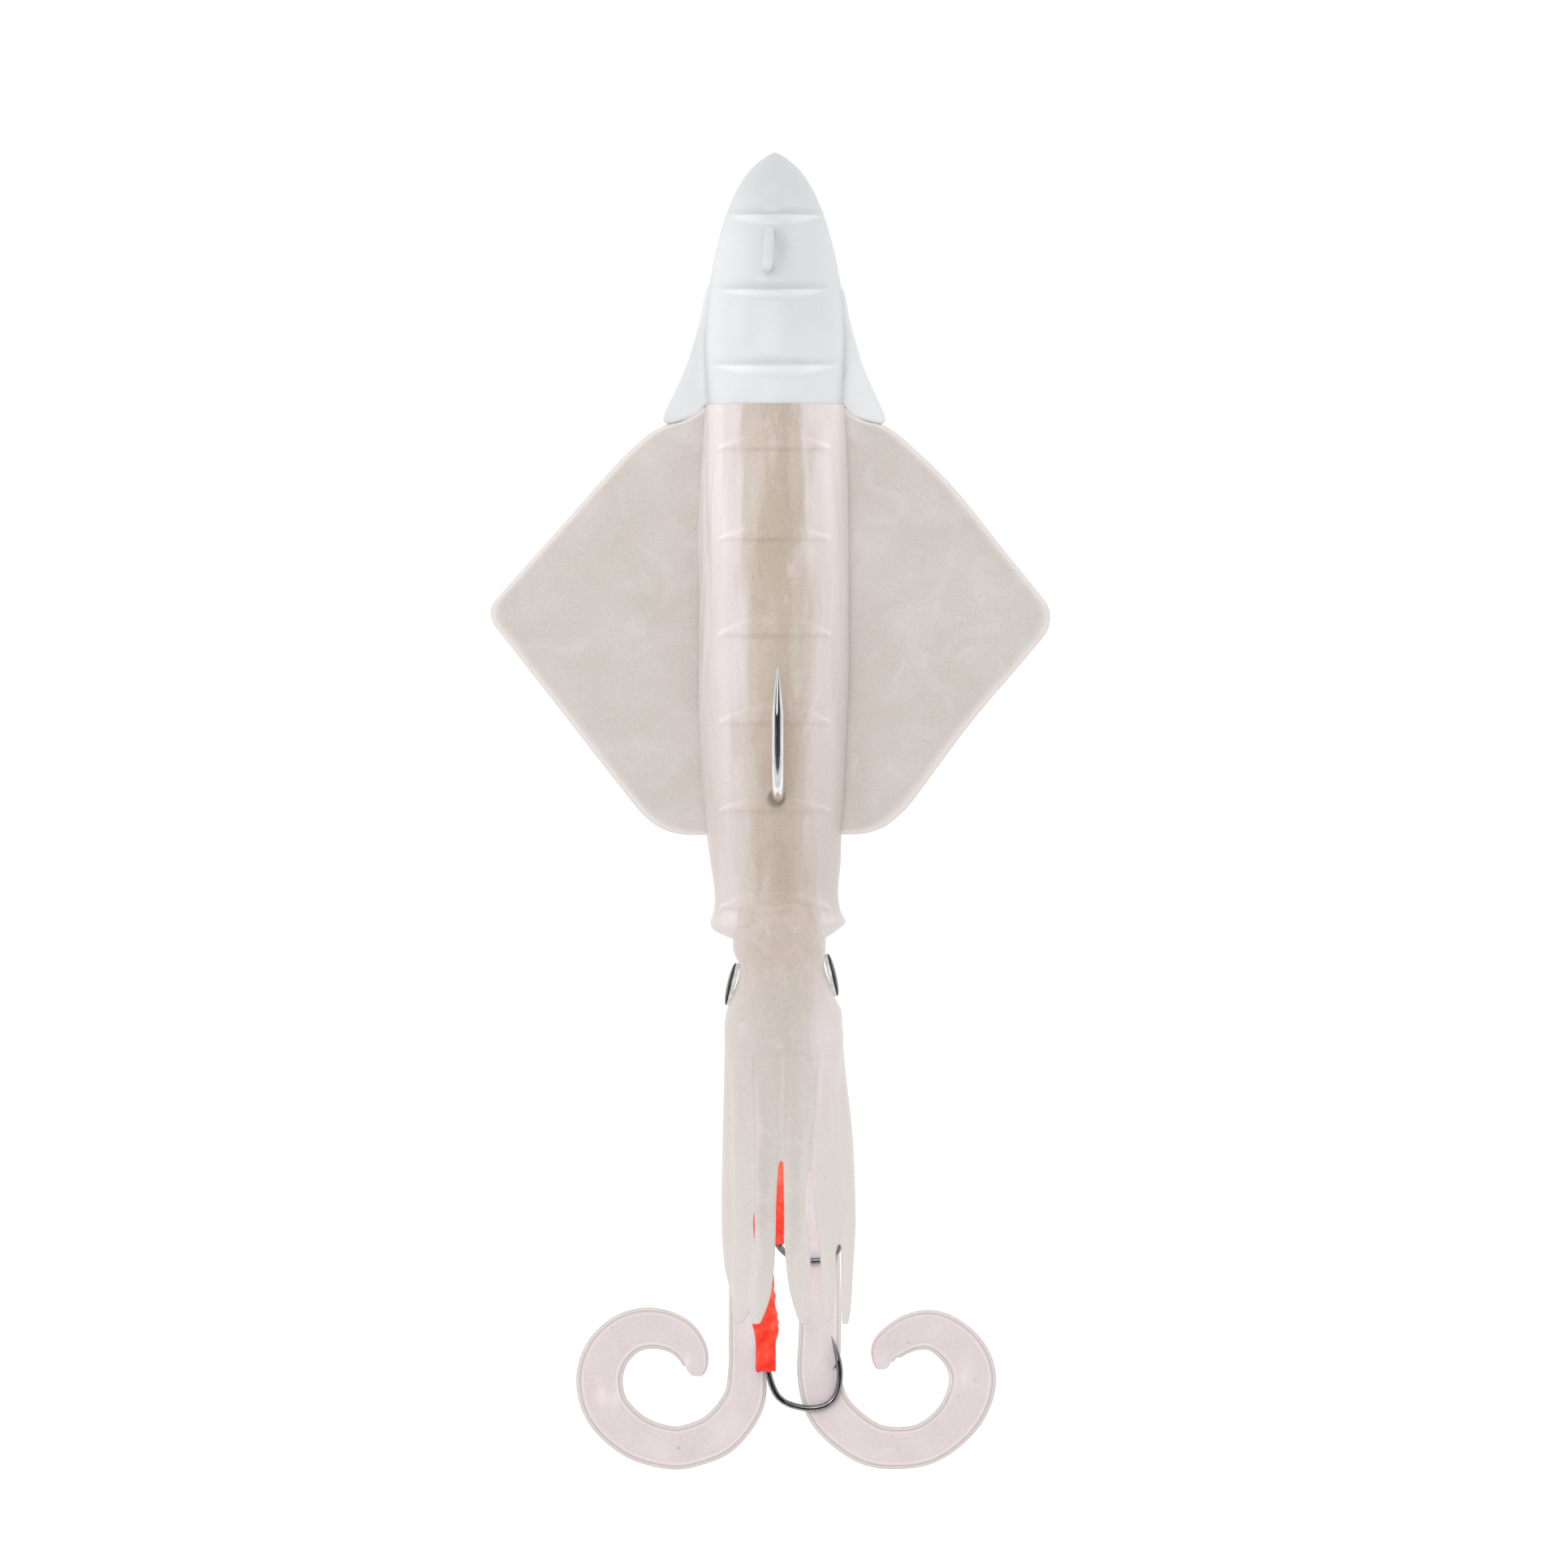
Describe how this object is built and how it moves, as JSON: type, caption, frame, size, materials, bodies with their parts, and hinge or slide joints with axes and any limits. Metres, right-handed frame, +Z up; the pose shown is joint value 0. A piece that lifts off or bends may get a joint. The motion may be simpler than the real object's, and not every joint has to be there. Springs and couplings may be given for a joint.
{
  "type": "squid fishing lure",
  "caption": "Soft plastic squid lure with a painted lead head, diamond fins, fringed arms, curled tentacles and hooks.",
  "frame": {"origin": "middle of the bounding box at floor level, under the mantle", "axes": "+Y from the curled tentacles towards the nose of the lead head, +X towards the right fin seen from above, +Z up out of the back"},
  "size_m": [0.1034, 0.2438, 0.033],
  "materials": {
    "pearl_plastic": "satin pearl",
    "white_paint": "semi-gloss",
    "black_nickel": "polished",
    "red_shrink": "satin",
    "domed_eye": "gloss"
  },
  "bodies": {
    "root": {"soft_body": "pearl_plastic", "lead_head": "white_paint", "line_eye": "white_paint", "main_hook": "black_nickel", "stinger_hook_lower": "black_nickel", "stinger_hook_upper": "black_nickel", "shrink_sleeve_lower": "red_shrink", "shrink_sleeve_upper": "red_shrink", "eye_left": "domed_eye", "eye_right": "domed_eye"}
  },
  "joints": []
}
